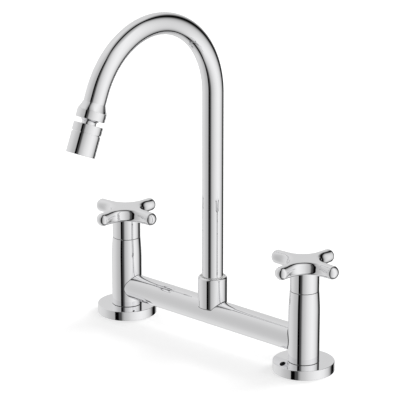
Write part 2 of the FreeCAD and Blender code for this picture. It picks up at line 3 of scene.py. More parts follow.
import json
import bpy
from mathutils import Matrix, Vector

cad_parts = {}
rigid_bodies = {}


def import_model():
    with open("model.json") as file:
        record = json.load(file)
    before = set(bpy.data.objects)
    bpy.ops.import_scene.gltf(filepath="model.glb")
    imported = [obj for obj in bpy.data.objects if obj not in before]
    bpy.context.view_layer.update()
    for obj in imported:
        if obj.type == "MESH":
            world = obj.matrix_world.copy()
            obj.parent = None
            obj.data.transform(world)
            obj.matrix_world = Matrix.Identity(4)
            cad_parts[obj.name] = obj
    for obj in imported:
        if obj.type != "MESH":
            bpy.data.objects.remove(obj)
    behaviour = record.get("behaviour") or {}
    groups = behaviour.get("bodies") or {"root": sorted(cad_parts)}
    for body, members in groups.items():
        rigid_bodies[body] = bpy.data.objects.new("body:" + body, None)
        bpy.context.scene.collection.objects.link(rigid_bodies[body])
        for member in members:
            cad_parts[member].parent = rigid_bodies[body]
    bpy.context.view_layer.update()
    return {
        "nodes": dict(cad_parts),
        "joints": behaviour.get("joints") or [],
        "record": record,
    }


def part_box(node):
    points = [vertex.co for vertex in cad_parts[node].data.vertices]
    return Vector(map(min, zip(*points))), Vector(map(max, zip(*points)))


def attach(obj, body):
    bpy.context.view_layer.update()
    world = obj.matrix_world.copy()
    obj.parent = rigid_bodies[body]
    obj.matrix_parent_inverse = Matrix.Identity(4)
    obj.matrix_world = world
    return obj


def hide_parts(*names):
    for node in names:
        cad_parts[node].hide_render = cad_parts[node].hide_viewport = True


bl_info = {
    "name": "Bridge Kitchen Faucet",
    "version": (1, 0, 0),
    "blender": (4, 5, 0),
    "location": "View3D > Sidebar > Faucet",
    "description": "Builds the polished pieces, finishes and studio of a two-handle bridge faucet",
    "category": "Add Mesh",
}

from functools import cache
from math import asin, cos, hypot, pi, radians, sin, sqrt

import bmesh
import bpy
from bpy.props import FloatProperty, FloatVectorProperty, IntProperty, PointerProperty
from bpy.types import Operator, Panel, PropertyGroup
from mathutils import Matrix, Vector

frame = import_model()

X, Y, Z = Vector((1, 0, 0)), Vector((0, 1, 0)), Vector((0, 0, 1))
SIDES = {"left": -1, "right": 1}
HAIR = 0.00001  # gap between a black ring of painted shade and the piece that bears on it
FIT = 0.00002  # gap between pieces that fit in each other
SETBACK = 0.0001  # how far a hidden edge stands back from the face in front of it
OVERRUN = 0.001  # how far a mesh starts outside the place where it is cut off
INSIDE = 1e-6  # how far the arch's top stays below the top of the frame's own
CREASE = radians(32)  # edges that bend more than this stay sharp


# ---- what the frame says ----
@cache
def extent(node):
    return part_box(node)


def low(node):
    return extent(node)[0]


def high(node):
    return extent(node)[1]


def half_width(node, axis=0):
    return (high(node)[axis] - low(node)[axis]) / 2


def middle(node):
    return (low(node) + high(node)) / 2


def joint(name):
    """Place and axis of a joint in the frame."""
    for entry in frame["joints"]:
        if entry["name"] == name:
            return Vector(entry["pos_m"]), Vector(entry["axis"])
    raise RuntimeError("the frame has no joint named " + name)


# ---- sizes and colours that a user would change ----
def length(name, description, default):
    return FloatProperty(name=name, description=description, default=default, min=0, unit="LENGTH", precision=5)


def share(name, description, default):
    return FloatProperty(name=name, description=description, default=default, min=0, max=1, subtype="FACTOR")


def tint(name, description, default):
    return FloatVectorProperty(name=name, description=description, default=default, min=0, max=1, size=3,
                               subtype="COLOR")


class FaucetBodySizes(PropertyGroup):
    flange_radius: length("Flange radius", "Outer radius of the flanges", half_width("right_flange"))
    flange_round: length("Flange round", "Round of the flange's top edge", 0.0005)
    flange_bore: length("Flange bore", "Radius of the hole in the flange", 0.012)
    gasket_recess: length("Gasket recess", "Depth of the recess under the flange", 0.0015)
    gasket_rim: length("Gasket rim", "Width of the metal rim round the gasket", 0.0032)
    column_radius: length("Column radius", "Radius of the column's straight part", half_width("right_column", 1))
    column_top_radius: length("Column top radius", "Radius at the top of the taper", 0.01215)
    column_taper: length("Column taper", "Length of the tapered top", 0.0195)
    taper_sag: share("Taper sag", "Part of the narrowing that is reached halfway up the taper", 0.3)
    column_bore: length("Column bore", "Radius of the column's hollow", 0.0098965)
    column_edge: length("Column edge", "Round of the column's upper and lower edge", 0.0002)
    joint_edge: length("Joint edge", "Round of the bridge's and the socket's ends", 0.0002)
    # The black rings at the joints are painted shade: they fill the gaps so that the joints show dark lines.
    joint_seal: length("Joint seal", "Thickness of the black seals at the bridge's and the socket's ends", 0.0004)
    foot_seal: length("Foot seal", "Thickness of the black seal under a column", 0.0003)
    foot_seal_bore: length("Foot seal bore", "Radius of the hole in the seal under a column", 0.01)
    spigot_radius: length("Spigot radius", "Radius of the column's spigot in the bridge", 0.0091)
    spigot_bore: length("Spigot bore", "Radius of the spigot's water way", 0.0058)
    spigot_length: length("Spigot length", "From the column's side into the bridge", 0.015)
    spigot_root: length("Spigot root", "From the column's side to the spigot's start in its wall", 0.002)
    bridge_radius: length("Bridge radius", "Radius of the bridge tube", half_width("bridge_tube", 2))
    bridge_wall: length("Bridge wall", "Wall of the bridge tube", 0.002)
    socket_radius: length("Socket radius", "Radius of the spout's socket", half_width("spout_socket"))
    socket_round: length("Socket round", "Round of the socket's top", 0.002)
    socket_bore: length("Socket bore", "Radius of the socket's bore", 0.0093)
    socket_mouth: length("Socket mouth", "Radius of the bush's seat in the socket", 0.01035)
    bush_height: length("Bush height", "Height of the bush in the socket's mouth", 0.006)
    screw_hole: length("Screw hole", "Radius of the set screws' holes", 0.00255)


class FaucetSpoutSizes(PropertyGroup):
    tube_radius: length("Tube radius", "Outer radius of the spout", half_width("spout_tube"))
    tube_wall: length("Tube wall", "Wall of the spout", 0.001)
    arch_radius: length("Arch radius", "Radius of the arch's centre line", 0.07)
    arch_turn: FloatProperty(name="Arch turn", description="How far the arch bends", default=radians(157.2),
                             subtype="ANGLE")
    nose_length: length("Nose", "Straight tube between the arch and the ferrule", 0.009)
    ferrule_length: length("Ferrule", "Length of the flaring ferrule", 0.0062)
    ferrule_lip: length("Ferrule lip", "Wall of the ferrule where it leaves the tube", 0.0002)
    ferrule_sag: share("Ferrule sag", "Part of the flare that is reached halfway down the ferrule", 0.42)
    ferrule_socket: length("Ferrule socket", "How far the tube goes into the ferrule", 0.003)
    ferrule_thread: length("Ferrule thread", "How far its thread goes past the ball's centre", 0.0008)
    chamber: length("Chamber", "Radius of the ball's chamber in the ferrule", 0.0093)
    collar_radius: length("Collar radius", "Radius of the ball joint's collar", 0.01185)
    collar_length: length("Collar length", "Length of the collar", 0.007)
    collar_wall: length("Collar wall", "Wall of the collar round the ball's chamber", 0.00125)
    edge_round: length("Edge round", "Round of the collar's and aerator's edges", 0.0004)
    ball_radius: length("Ball radius", "Radius of the ball", 0.009)
    ball_drop: length("Ball drop", "From the ball's centre to the collar's lower edge", 0.005)
    ball_flat: length("Ball flat", "From the ball's centre to its cut-off top", 0.0045)
    ball_bore: length("Ball bore", "Radius of the water way in the ball", 0.0036)
    seat_gap: length("Seat gap", "Gap between the ball and the collar's seat", 0.00015)
    seat_top: length("Seat top", "From the ball's centre to the seat's upper edge", 0.001)
    neck_radius: length("Neck radius", "Radius of the neck below the ball", 0.0058)
    neck_thread: length("Neck thread", "How far the neck goes past the cap's roof", 0.0016)
    neck_gap: length("Neck gap", "Gap between the collar and the aerator", 0.0040011)
    cap_length: length("Cap length", "Length of the aerator's cap", 0.0071)
    cap_roof: length("Cap roof", "Thickness of the cap's top", 0.0018)
    shell_length: length("Shell length", "Length of the aerator's shell", 0.0177)
    shell_wall: length("Shell wall", "Wall of the aerator", 0.0016)
    seam: length("Seam", "Width of the groove between the cap and the shell", 0.0009)
    seam_depth: length("Seam depth", "Depth of the groove between the cap and the shell", 0.0008)
    cap_proud: length("Cap proud", "How far the cap stands out over the shell", 0.00015)
    seam_edge: length("Seam edge", "Round of the edges along the outlet's seams", 0.0001)
    collar_gap: length("Collar gap", "Gap between the ferrule and the collar", 0.0002)
    aerator_radius: length("Aerator radius", "Outer radius of the aerator", half_width("aerator_shell"))


class FaucetHandleSizes(PropertyGroup):
    skirt_radius: length("Skirt radius", "Outer radius of the handle's cup", 0.01215)
    cup_radius: length("Cup radius", "Inner radius of the cup", 0.011)
    cup_height: length("Cup height", "Depth of the cup", 0.0095)
    bore_radius: length("Bore radius", "Radius of the stem's bore", 0.0041)
    lift: length("Lift", "From the skirt's lower edge to the arms' middle", 0.02185)
    stem_drop: length("Stem drop", "From the arms' middle to the bore's end", 0.0036)
    hub_half: length("Hub half height", "Half the hub's height", 0.0058)
    hub_round: length("Hub round", "Round along the hub's edges", 0.0045)
    hub_proud: length("Hub proud", "How far the hub stands out over the skirt", 0.00125)
    waist: length("Waist", "Half width of an arm at its narrowest", 0.0049)
    reach: length("Reach", "From the axis to an arm's tip", 0.0341)
    end_radius: length("End radius", "Radius of an arm near its end", 0.0057)
    end_length: length("End length", "Length of an arm's round end", 0.0055)
    dome_radius: length("Dome radius", "Radius of the dome that closes an arm", 0.006)
    dome_blend: length("Dome blend", "Radius of the bend between an arm and its dome", 0.0035)
    edge: length("Edge", "Round of the skirt's lower edge", 0.0003)
    # The ring below is painted shade: a black ring in the gap between the skirt and the column.
    slide_width: length("Slide ring", "Width of the black ring that the skirt slides on", 0.0009)


class FaucetThreadSizes(PropertyGroup):
    major_radius: length("Major radius", "Outside radius of the shanks' thread", 0.0104775)
    minor_radius: length("Minor radius", "Radius at the thread's root", 0.0093155)
    pitch: length("Pitch", "Height of one turn", 0.001814)
    neck: length("Neck", "Plain length below the worktop's top", 0.012)
    relief: length("Relief", "Length of the groove above the thread", 0.0015)
    bore: length("Bore", "Radius of the water way", 0.0055)
    shoulder: length("Shoulder", "Radius of the shoulder in the flange", 0.0119)
    shoulder_lift: length("Shoulder lift", "Height of the shoulder's underside above the worktop", 0.0005)
    upper: length("Upper thread", "Radius of the thread in the column", 0.0098)
    end_round: length("End round", "Round of the shank's lower end", 0.0005)
    lead_in: length("Lead in", "Plain length below the thread", 0.0006)
    run_out: length("Run out", "Plain length above the thread", 0.0004)
    segments: IntProperty(name="Segments", description="Segments in one turn of the thread", default=40, min=12)


class FaucetFinishes(PropertyGroup):
    chrome: tint("Chrome", "Colour of the polished chrome", (0.93, 0.93, 0.94))
    chrome_haze: share("Chrome haze", "Roughness of the polished chrome", 0.012)
    brass: tint("Brass", "Colour of the machined brass", (0.78, 0.60, 0.32))
    steel: tint("Steel", "Colour of the washers", (0.55, 0.56, 0.58))
    # The set screws are really blackened; the same colour is painted on the walls of the screw holes as shade.
    blackened: tint("Blackened steel", "Colour of the set screws and their threads", (0.035, 0.035, 0.04))
    # Rubber is also the colour of the black rings painted as shade in the joints' gaps.
    rubber: tint("Rubber", "Colour of the seals", (0.03, 0.03, 0.03))
    plastic: tint("Plastic", "Colour of the bushes and the jet insert", (0.80, 0.80, 0.78))
    ceramic: tint("Ceramic", "Colour of the valve discs", (0.88, 0.87, 0.83))


# ---- mesh helpers ----
def turned(profile, rounds=(), place=Matrix(), steps=128):
    """Closed mesh turned about Z from (radius, height) points; rounds lists (point number, size) of its rounds."""
    mesh = bmesh.new()
    corners = [mesh.verts.new((r, 0, z)) for r, z in profile]
    pairs = zip(corners, corners[1:] + corners[:1])
    edges = [mesh.edges.new(pair) for pair in pairs if hypot(pair[0].co.x, pair[1].co.x) > 1e-9]
    bmesh.ops.spin(mesh, geom=corners + edges, cent=(0, 0, 0), axis=Z, angle=2 * pi, steps=steps, use_merge=True)
    bmesh.ops.remove_doubles(mesh, verts=mesh.verts, dist=1e-8)
    bmesh.ops.recalc_face_normals(mesh, faces=mesh.faces)
    for number, size in rounds:
        soften(mesh, ring_at(mesh, *profile[number]), size, 6)
    move(mesh, place)
    return mesh


def move(mesh, place):
    bmesh.ops.transform(mesh, matrix=place, verts=mesh.verts)


def ring_at(mesh, r, z):
    """Edges of the ring at a radius and a height."""
    return [edge for edge in mesh.edges if all(on_ring(vert, r, z) for vert in edge.verts)]


def on_ring(vert, r, z):
    return abs(hypot(vert.co.x, vert.co.y) - r) < 1e-7 and abs(vert.co.z - z) < 1e-7


def arc(first, via, last, count):
    """Points along the circle through three (radius, height) points, without the first."""
    a, b, c = Vector(first), Vector(via), Vector(last)
    centre = circle_centre(a, b, c)
    start, end = a - centre, c - centre
    turn = start.angle_signed(end)
    points = []
    for k in range(1, count + 1):
        spoke = start.copy()
        spoke.rotate(Matrix.Rotation(-turn * k / count, 2))
        points.append(tuple(centre + spoke))
    return points


def circle_centre(a, b, c):
    d = 2 * (a.x * (b.y - c.y) + b.x * (c.y - a.y) + c.x * (a.y - b.y))
    squares = [p.length_squared for p in (a, b, c)]
    return Vector((
        (squares[0] * (b.y - c.y) + squares[1] * (c.y - a.y) + squares[2] * (a.y - b.y)) / d,
        (squares[0] * (c.x - b.x) + squares[1] * (a.x - c.x) + squares[2] * (b.x - a.x)) / d))


def soften(mesh, edges, size, segments=4):
    """Rounds the edges."""
    bmesh.ops.bevel(mesh, geom=edges, offset=size, offset_type="OFFSET", segments=segments, profile=0.5,
                    affect="EDGES", material=-1)


def ring_of(mesh, points):
    """Closed loop of edges through the points."""
    verts = [mesh.verts.new(point) for point in points]
    return [mesh.edges.new(pair) for pair in zip(verts, verts[1:] + verts[:1])]


def skin(mesh, rings):
    """Joins each loop of edges to the next by faces."""
    for near, far in zip(rings, rings[1:]):
        bmesh.ops.bridge_loops(mesh, edges=near + far)


def only(kind, items):
    return [item for item in items if isinstance(item, kind)]


def joined(mesh, other):
    """Both meshes in one."""
    data = bpy.data.meshes.new("joined")
    other.to_mesh(data)
    other.free()
    mesh.from_mesh(data)
    bpy.data.meshes.remove(data)
    return mesh


def new_object(mesh, name):
    """Object of the scene that takes over the mesh."""
    data = bpy.data.meshes.new(name)
    mesh.to_mesh(data)
    mesh.free()
    piece = bpy.data.objects.new(name, data)
    bpy.context.scene.collection.objects.link(piece)
    return piece


def finish_piece(mesh, name, body, slot, replaced=(), hole_shade=None):
    """Makes the mesh an object with smooth faces and true edges, and gives it to its body."""
    for face in mesh.faces:
        face.smooth = True
    for edge in mesh.edges:
        edge.smooth = len(edge.link_faces) == 2 and edge.calc_face_angle() < CREASE
    piece = new_object(mesh, name)
    piece.data.materials.append(surface_for(slot))
    # The second finish is a dark colour painted as shade on the walls of drilled holes.
    if hole_shade:
        piece.data.materials.append(surface_for(hole_shade))
    evened = piece.modifiers.new("Even shading", "WEIGHTED_NORMAL")
    evened.keep_sharp = True
    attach(piece, body)
    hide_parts(*replaced)


def polish(mesh, node, body="base", hole_shade=None):
    """Finishes a chrome piece that takes the place of its node; its second finish is painted shade on the walls of
    its holes.
    """
    finish_piece(mesh, node + "_polished", body, "chrome", [node], hole_shade)


def cut_out(mesh, tools, operation="DIFFERENCE"):
    """The mesh with the tool meshes cut from it, or joined to it."""
    objects = [new_object(part, "cut") for part in [mesh, *tools]]
    for tool in objects[1:]:
        step = objects[0].modifiers.new("cut", "BOOLEAN")
        step.operation = operation
        step.solver = "EXACT"
        step.object = tool
    graph = bpy.context.evaluated_depsgraph_get()
    shaped = bpy.data.meshes.new_from_object(objects[0].evaluated_get(graph))
    result = bmesh.new()
    result.from_mesh(shaped)
    bmesh.ops.remove_doubles(result, verts=result.verts, dist=1e-7)
    bpy.data.meshes.remove(shaped)
    for item in objects:
        data = item.data
        bpy.data.objects.remove(item)
        bpy.data.meshes.remove(data)
    return result


def screw_hole(point, way, inner, outer):
    """Radius and ends of a set screw's hole, from a point on the axis out through a wall between two radii."""
    return bpy.context.scene.faucet_body.screw_hole, point + way * inner / 2, point + way * outer * 1.3


def drilled(mesh, holes, cutters=()):
    """The mesh with the cutters and the holes cut from it; the holes' walls get its second finish, a dark colour
    painted as shade inside the holes.
    """
    mesh = cut_out(mesh, [*cutters, *(drill(*hole) for hole in holes)])
    for hole in holes:
        line_hole(mesh, *hole)
    return mesh


def drill(radius, start, end):
    """Round cutter from one point to another."""
    way = end - start
    mesh = bmesh.new()
    place = Matrix.Translation((start + end) / 2) @ Z.rotation_difference(way).to_matrix().to_4x4()
    bmesh.ops.create_cone(mesh, cap_ends=True, segments=48, radius1=radius, radius2=radius, depth=way.length,
                          matrix=place)
    return mesh


def line_hole(mesh, radius, start, end):
    """Gives the wall of a drilled hole the piece's second finish, which is painted shade inside the hole."""
    way = (end - start).normalized()

    def on_wall(vert):
        spoke = vert.co - start
        return abs((spoke - way * spoke.dot(way)).length - radius) < 2e-6

    for face in mesh.faces:
        if all(on_wall(vert) for vert in face.verts):
            face.material_index = 1


# ---- finishes ----
PATTERN = (0.3, 0.7)  # part of a noise's range that a finish is spread over
POLISHED = {"metallic": 1.0, "grain": 40.0, "spread": (0.6, 1.4), "darkest": 0.985}
MACHINED = {"metallic": 1.0, "grain": 900.0, "spread": (0.8, 1.25), "darkest": 0.9, "bump": 0.000004,
            "detail": 2.0, "stretch": (1, 1, 6)}
MOULDED = {"metallic": 0.0, "grain": 700.0, "spread": (0.85, 1.15), "darkest": 0.93, "bump": 0.00001}
LAPPED = {**MOULDED, "grain": 300.0, "bump": 0.000002}


def add_node(tree, kind, inputs=(), **settings):
    """New node with its settings; each input is a value, or another node's output to link."""
    node = tree.nodes.new("ShaderNode" + kind)
    for name, value in settings.items():
        setattr(node, name, value)
    for key, value in dict(inputs).items():
        if isinstance(value, bpy.types.NodeSocket):
            tree.links.new(value, node.inputs[key])
        else:
            node.inputs[key].default_value = value
    return node


def patterned(name, colour, roughness, metallic, grain, spread, darkest, bump=0.0, detail=3.0, stretch=None):
    """Material whose roughness and colour follow a fine pattern, which is also the height of its bumps."""
    surface = bpy.data.materials.new(name)
    surface.use_nodes = True
    tree = surface.node_tree
    shader = tree.nodes["Principled BSDF"]
    shader.inputs["Metallic"].default_value = metallic
    place = add_node(tree, "TexCoord").outputs["Object"]
    if stretch:
        place = add_node(tree, "Mapping", {"Vector": place, "Scale": stretch}).outputs["Vector"]
    noise = add_node(tree, "TexNoise", {"Vector": place, "Scale": grain, "Detail": detail}).outputs["Fac"]
    haze = add_node(tree, "MapRange", {
        "Value": noise, "From Min": PATTERN[0], "From Max": PATTERN[1], "To Min": roughness * spread[0],
        "To Max": roughness * spread[1]})
    tree.links.new(haze.outputs["Result"], shader.inputs["Roughness"])
    tones = add_node(tree, "ValToRGB", {"Fac": noise})
    for stop, position, factor in zip(tones.color_ramp.elements, PATTERN, (darkest, 1.0)):
        stop.position = position
        stop.color = (*(channel * factor for channel in colour), 1)
    tree.links.new(tones.outputs["Color"], shader.inputs["Base Color"])
    if bump:
        bumps = add_node(tree, "Bump", {"Height": noise, "Strength": 1.0, "Distance": bump})
        tree.links.new(bumps.outputs["Normal"], shader.inputs["Normal"])
    return surface


def surface_for(slot):
    """The finish of a material slot, made once."""
    finishes = bpy.context.scene.faucet_finishes
    makes = {
        "chrome": ("polished chrome", finishes.chrome_haze, POLISHED),
        "brass": ("machined brass", 0.28, MACHINED),
        "steel": ("bright steel", 0.32, MACHINED),
        "blackened": ("blackened steel", 0.45, MACHINED),
        "rubber": ("black rubber", 0.7, MOULDED),
        "plastic": ("moulded plastic", 0.45, MOULDED),
        "ceramic": ("lapped ceramic", 0.18, LAPPED)}
    key = "finish_" + slot
    known = bpy.data.materials.get(bpy.context.scene.get(key, ""))
    if known is None:
        name, roughness, make = makes[slot]
        known = patterned(name, getattr(finishes, slot), roughness, **make)
        bpy.context.scene[key] = known.name
    return known


# ---- pieces ----
class PieceOperator(Operator):
    """Common ground of the operators that make pieces"""
    bl_options = {"REGISTER", "UNDO"}

    @classmethod
    def poll(cls, context):
        return context.scene is not None


class FAUCET_OT_flanges(PieceOperator):
    """Makes the round flanges that stand on the worktop"""
    bl_idname = "faucet.flanges"
    bl_label = "Flanges"

    def execute(self, context):
        sizes = context.scene.faucet_body
        for side in SIDES:
            node = side + "_flange"
            bore, outer = sizes.flange_bore, sizes.flange_radius
            inner = outer - sizes.gasket_rim
            recess, height = sizes.gasket_recess, high(node).z
            profile = [(bore, recess), (inner, recess), (inner, 0), (outer, 0), (outer, height), (bore, height)]
            rounds = [(4, sizes.flange_round), (3, sizes.flange_round / 2)]
            mesh = turned(profile, rounds, Matrix.Translation((middle(node).x, 0, 0)), 160)
            polish(mesh, node)
        return {"FINISHED"}


class FAUCET_OT_columns(PieceOperator):
    """Makes the two columns with their spigots into the bridge"""
    bl_idname = "faucet.columns"
    bl_label = "Columns"

    def execute(self, context):
        sizes = context.scene.faucet_body
        for side, sign in SIDES.items():
            node = side + "_column"
            floor, top = low(node).z, high(node).z
            bottom = floor + sizes.foot_seal
            bend = top - sizes.column_taper
            wide, narrow, bore = sizes.column_radius, sizes.column_top_radius, sizes.column_bore
            start, via = (wide, bend), (wide - (wide - narrow) * sizes.taper_sag, (bend + top) / 2)
            profile = [(bore, bottom), (wide, bottom), start, *arc(start, via, (narrow, top), 16), (bore, top)]
            mesh = turned(profile, [(len(profile) - 2, sizes.column_edge), (1, sizes.column_edge)])
            inner, outer = wide - sizes.spigot_root, wide + sizes.spigot_length
            aim = Matrix.Translation((0, 0, middle("bridge_tube").z)) @ Matrix.Rotation(-sign * pi / 2, 4, "Y")
            way, spigot = sizes.spigot_bore, sizes.spigot_radius
            mesh = joined(mesh, turned([(way, inner), (spigot, inner), (spigot, outer), (way, outer)],
                                       place=aim, steps=96))
            place = Matrix.Translation((sign * middle("right_flange").x, 0, 0))
            move(mesh, place)
            polish(mesh, node)
            # Black ring under the column: painted shade in the gap between the column and the flange.
            rim, bore = wide - SETBACK, sizes.foot_seal_bore
            shade_ring = turned([(bore, floor), (rim, floor), (rim, bottom - HAIR), (bore, bottom - HAIR)], place=place)
            finish_piece(shade_ring, side + "_foot_seal", "base", "rubber")
        return {"FINISHED"}


class FAUCET_OT_bridge(PieceOperator):
    """Makes the bridge tube, saddled on the columns, with the holes of its set screws"""
    bl_idname = "faucet.bridge"
    bl_label = "Bridge"

    def execute(self, context):
        sizes = context.scene.faucet_body
        height = middle("bridge_tube").z
        outer, inner = sizes.bridge_radius, sizes.bridge_radius - sizes.bridge_wall
        steps = 24
        mesh = bmesh.new()
        walls = []
        for radius in (outer, inner):
            walls.append([self.ring(mesh, radius, 2 * k / steps - 1, sizes.joint_seal) for k in range(steps + 1)])
            skin(mesh, walls[-1])
        for end in (0, -1):
            skin(mesh, [wall[end] for wall in walls])
        bmesh.ops.recalc_face_normals(mesh, faces=mesh.faces)
        soften(mesh, walls[0][0] + walls[0][-1], sizes.joint_edge)
        lift = Matrix.Translation((0, 0, height))
        move(mesh, lift)
        holes = []
        for side in SIDES:
            screw = middle(side + "_bridge_screw")
            point = Vector((screw.x, 0, height))
            holes.append(screw_hole(point, (screw - point).normalized(), inner, outer))
        mesh = drilled(mesh, holes)
        # The walls of the screw holes are painted black as shade inside the holes.
        polish(mesh, "bridge_tube", hole_shade="blackened")
        # Black rings at the bridge's ends: painted shade in the gaps where the bridge meets the columns.
        for side, sign in SIDES.items():
            mesh = bmesh.new()
            rim, end = outer - SETBACK, sizes.joint_seal - HAIR
            corners = ((rim, FIT), (rim, end), (inner, end), (inner, FIT))
            rings = [self.ring(mesh, radius, sign, clearance) for radius, clearance in corners]
            skin(mesh, rings + rings[:1])
            bmesh.ops.recalc_face_normals(mesh, faces=mesh.faces)
            move(mesh, lift)
            finish_piece(mesh, side + "_bridge_seal", "base", "rubber")
        return {"FINISHED"}

    def ring(self, mesh, radius, along, clearance):
        """Loop round the tube; it goes from saddled on one column, at -1, to saddled on the other, at 1."""
        column = bpy.context.scene.faucet_body.column_radius + clearance
        reach = middle("right_flange").x
        count = 128
        points = []
        for k in range(count):
            y, z = radius * sin(2 * pi * k / count), radius * cos(2 * pi * k / count)
            points.append((along * (reach - sqrt(column ** 2 - y ** 2)), y, z))
        return ring_of(mesh, points)


class FAUCET_OT_socket(PieceOperator):
    """Makes the spout's socket, saddled on the bridge"""
    bl_idname = "faucet.socket"
    bl_label = "Spout socket"

    def execute(self, context):
        sizes = context.scene.faucet_body
        bottom, top = low("spout_socket").z, high("spout_socket").z
        step = top - sizes.bush_height
        bore, mouth, outer = sizes.socket_bore, sizes.socket_mouth, sizes.socket_radius
        mesh = turned([(bore, bottom), (outer, bottom), (outer, top), (mouth, top), (mouth, step), (bore, step)],
                      [(2, sizes.socket_round)], steps=256)
        rim = ring_at(mesh, outer, bottom)
        self.seat(sizes, mesh, bottom, sizes.joint_seal)
        # Black ring under the socket: painted shade in the gap where the socket sits on the bridge.
        side, below = outer - SETBACK, bottom - OVERRUN
        shade_ring = turned([(bore, below), (side, below), (side, bottom), (bore, bottom)], steps=256)
        self.seat(sizes, shade_ring, bottom, sizes.joint_seal - HAIR)
        self.seat(sizes, shade_ring, below, 0)
        for vert in shade_ring.verts:
            vert.co.z = max(vert.co.z, bottom)
        finish_piece(shade_ring, "socket_seal", "base", "rubber")
        soften(mesh, rim, sizes.joint_edge)
        point = Vector((0, 0, middle("socket_screw").z))
        mesh = drilled(mesh, [screw_hole(point, Y, bore, outer)])
        # The wall of the screw hole is painted black as shade inside the hole.
        polish(mesh, "spout_socket", hole_shade="blackened")
        return {"FINISHED"}

    def seat(self, sizes, mesh, level, clearance):
        """Lifts the mesh's ring at a level onto the bridge, with a clearance for the black ring of painted shade."""
        for vert in mesh.verts:
            if abs(vert.co.z - level) < 1e-6:
                across = max(0.0, (sizes.bridge_radius + FIT) ** 2 - vert.co.y ** 2)
                vert.co.z = max(level, middle("bridge_tube").z + sqrt(across)) + clearance


class FAUCET_OT_spout(PieceOperator):
    """Makes the gooseneck tube: a straight run, the arch and a short nose"""
    bl_idname = "faucet.spout"
    bl_label = "Spout tube"

    def execute(self, context):
        sizes = context.scene.faucet_spout
        foot = low("spout_tube").z
        arch = high("spout_tube").z - sizes.arch_radius - sizes.tube_radius - INSIDE
        nose = Vector((0, -sin(sizes.arch_turn), cos(sizes.arch_turn)))
        mesh = bmesh.new()
        made = bmesh.ops.create_circle(mesh, cap_ends=False, segments=96, radius=sizes.tube_radius,
                                       matrix=Matrix.Translation((0, 0, foot)))
        loop = list({edge for vert in made["verts"] for edge in vert.link_edges})
        loop = self.run(mesh, loop, Vector((0, 0, arch - foot)), 12)
        spun = bmesh.ops.spin(mesh, geom=loop + edge_verts(loop), cent=(0, -sizes.arch_radius, arch), axis=X,
                              angle=sizes.arch_turn, steps=180)
        loop = only(bmesh.types.BMEdge, spun["geom_last"])
        self.run(mesh, loop, nose * (sizes.nose_length + sizes.ferrule_socket), 2)
        bmesh.ops.recalc_face_normals(mesh, faces=mesh.faces)
        bmesh.ops.solidify(mesh, geom=mesh.faces, thickness=sizes.tube_wall)
        bmesh.ops.recalc_face_normals(mesh, faces=mesh.faces)
        polish(mesh, "spout_tube", "spout")
        return {"FINISHED"}

    def run(self, mesh, loop, way, steps):
        """Extrudes the loop along a straight way and returns the loop at its end."""
        for _ in range(steps):
            made = bmesh.ops.extrude_edge_only(mesh, edges=loop)["geom"]
            verts = only(bmesh.types.BMVert, made)
            bmesh.ops.translate(mesh, vec=way / steps, verts=verts)
            new = set(verts)
            loop = [edge for edge in only(bmesh.types.BMEdge, made) if set(edge.verts) <= new]
        return loop


def edge_verts(edges):
    return list({vert for edge in edges for vert in edge.verts})


